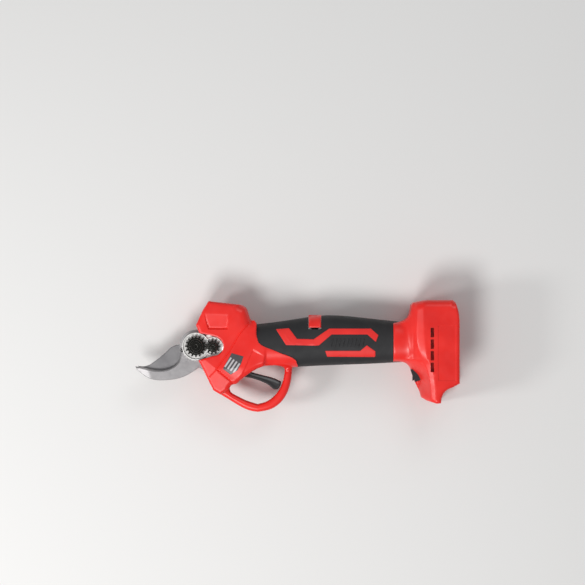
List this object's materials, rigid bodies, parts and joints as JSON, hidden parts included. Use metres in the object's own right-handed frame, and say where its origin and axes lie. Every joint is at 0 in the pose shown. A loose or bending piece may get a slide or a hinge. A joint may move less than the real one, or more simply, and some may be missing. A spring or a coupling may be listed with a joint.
{
  "type": "battery electric pruner",
  "caption": "Cordless one-handed electric pruning shear with a hooked fixed jaw, a powered blade, a trigger in a finger guard and a slide-on battery foot, shown without its battery.",
  "frame": {"origin": "middle of the tool's box at its lowest face, with the tool lying on its right side", "axes": "+X from the blades to the battery foot, +Y from the finger guard to the thumb button, +Z out of the tool's left side"},
  "size_m": [0.323, 0.1118, 0.064],
  "materials": {
    "red_shell": "satin moulded",
    "black_grip": "fine moulded texture",
    "red_inlay": "satin moulded",
    "label": "printed film, blank",
    "black_plastic": "fine moulded texture",
    "cast_aluminium": "die cast, polished rim",
    "blade_steel": "satin ground",
    "dark_blade_steel": "satin ground, darker",
    "gear_steel": "black oxide",
    "bright_steel": "machined",
    "zinc_steel": "zinc plated",
    "bronze": "sintered",
    "laminations": "stacked sheet",
    "copper": "enamelled copper wire",
    "magnet": "nickel plated",
    "board": "solder mask",
    "lead_insulation": "insulated wire"
  },
  "bodies": {
    "body": {"housing_left": "red_shell", "housing_right": "red_shell", "label_plate": "label", "grip_left": "black_grip", "grip_right": "black_grip", "grip_stripes_left": "red_inlay", "grip_stripes_right": "red_inlay", "foot_left": "red_shell", "foot_right": "red_shell", "head_casting": "cast_aluminium", "rear_plate": "cast_aluminium", "frame_bolts": "zinc_steel", "counter_blade": "blade_steel", "counter_blade_screws": "zinc_steel", "pivot_bush": "bronze", "pivot_bolt": "gear_steel", "pivot_nut_gear": "gear_steel", "lock_pinion": "gear_steel", "lock_pinion_screw": "gear_steel", "thrust_washer": "bronze", "output_bearings": "bright_steel", "gearbox_nose": "cast_aluminium", "ring_gear": "bright_steel", "gearbox_cover": "cast_aluminium", "motor_can": "gear_steel", "motor_end_caps": "zinc_steel", "motor_bearings": "bright_steel", "motor_stator": "laminations", "motor_windings": "copper", "trigger_pin": "zinc_steel", "trigger_spring": "bright_steel", "trigger_board": "board", "button_spring": "bright_steel", "button_switch": "black_plastic", "control_board": "board", "power_transistors": "black_plastic", "heat_sink": "cast_aluminium", "capacitors": "cast_aluminium", "terminal_block": "black_plastic", "battery_contacts": "copper", "rocker_frame": "black_plastic", "case_screws": "gear_steel", "power_leads": "lead_insulation"},
    "blade": {"moving_blade": "dark_blade_steel", "drive_pins": "bright_steel", "sector_gear": "bright_steel"},
    "output_shaft": {"bevel_pinion": "bright_steel", "planet_carrier": "bright_steel", "planet_pins": "bright_steel"},
    "planet_1": {"planet_gear_1": "bright_steel"},
    "planet_2": {"planet_gear_2": "bright_steel"},
    "planet_3": {"planet_gear_3": "bright_steel"},
    "rotor": {"sun_gear": "bright_steel", "motor_shaft": "bright_steel", "rotor_core": "laminations", "rotor_magnets": "magnet"},
    "trigger_lever": {"trigger": "black_plastic", "trigger_magnet": "magnet"},
    "button": {"thumb_button": "red_shell"},
    "rocker": {"power_rocker": "black_plastic"}
  },
  "joints": [
    {"name": "blade_pivot", "type": "hinge", "parent": "body", "child": "blade", "pos_m": [-0.1008, 0.0097, 0.032], "axis": [0, 0, -1], "range_deg": [0, 50]},
    {"name": "output_spin", "type": "hinge", "parent": "body", "child": "output_shaft", "pos_m": [-0.0708, 0.0097, 0.032], "axis": [-1, 0, 0], "range_deg": [0, 200]},
    {"name": "rotor_spin", "type": "hinge", "parent": "body", "child": "rotor", "pos_m": [-0.0308, 0.0097, 0.032], "axis": [-1, 0, 0], "range_deg": [0, 900]},
    {"name": "planet_1_spin", "type": "hinge", "parent": "output_shaft", "child": "planet_1", "pos_m": [-0.0558, 0.01713, 0.032], "axis": [-1, 0, 0], "range_deg": [-560, 0]},
    {"name": "planet_2_spin", "type": "hinge", "parent": "output_shaft", "child": "planet_2", "pos_m": [-0.0558, 0.00599, 0.03843], "axis": [-1, 0, 0], "range_deg": [-560, 0]},
    {"name": "planet_3_spin", "type": "hinge", "parent": "output_shaft", "child": "planet_3", "pos_m": [-0.0558, 0.00599, 0.02557], "axis": [-1, 0, 0], "range_deg": [-560, 0]},
    {"name": "trigger_pull", "type": "hinge", "parent": "body", "child": "trigger_lever", "pos_m": [-0.0568, -0.0178, 0.032], "axis": [0, 0, 1], "range_deg": [0, 12], "stiffness_Nm_per_rad": 0.05, "springref_deg": -11.46, "deforming": ["trigger_spring"]},
    {"name": "button_press", "type": "slide", "parent": "body", "child": "button", "axis": [0, -1, 0], "range_m": [0, 0.0016], "stiffness_N_per_m": 300, "springref_m": -0.001, "deforming": ["button_spring"]},
    {"name": "rocker_tilt", "type": "hinge", "parent": "body", "child": "rocker", "pos_m": [0.11772, -0.01908, 0.032], "axis": [0, 0, 1], "range_deg": [0, 14]}
  ],
  "couplings": [
    {"joint": "output_spin", "follows": "blade_pivot", "ratio": 4},
    {"joint": "rotor_spin", "follows": "blade_pivot", "ratio": 18},
    {"joint": "planet_1_spin", "follows": "blade_pivot", "ratio": -11.2},
    {"joint": "planet_2_spin", "follows": "blade_pivot", "ratio": -11.2},
    {"joint": "planet_3_spin", "follows": "blade_pivot", "ratio": -11.2}
  ]
}
